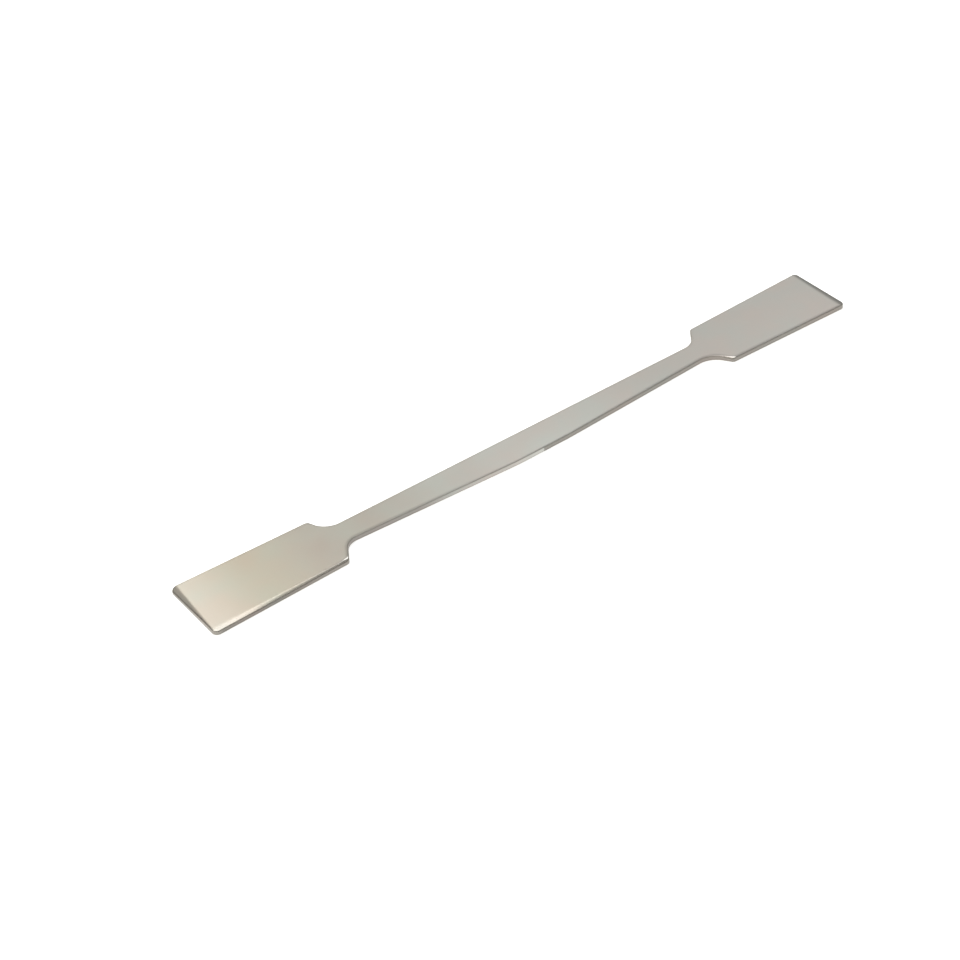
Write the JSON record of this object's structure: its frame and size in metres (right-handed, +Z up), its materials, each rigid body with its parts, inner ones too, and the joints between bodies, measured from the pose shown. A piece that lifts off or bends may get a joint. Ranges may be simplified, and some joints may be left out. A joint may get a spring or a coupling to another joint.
{
  "type": "laboratory spatula",
  "caption": "Flat double-ended laboratory spatula for handling small amounts of powder, with a slim handle and square-ended blades in satin steel.",
  "frame": {"origin": "mid-length and mid-width of the spatula, on the flat underside it rests on", "axes": "+X along the spatula from the wider blade to the narrower blade, +Y to the straight edge of the handle, +Z up, out of the top face"},
  "size_m": [0.15, 0.0154, 0.0011],
  "materials": {
    "spatula": "satin"
  },
  "bodies": {
    "root": {"spatula": "spatula"}
  },
  "joints": []
}
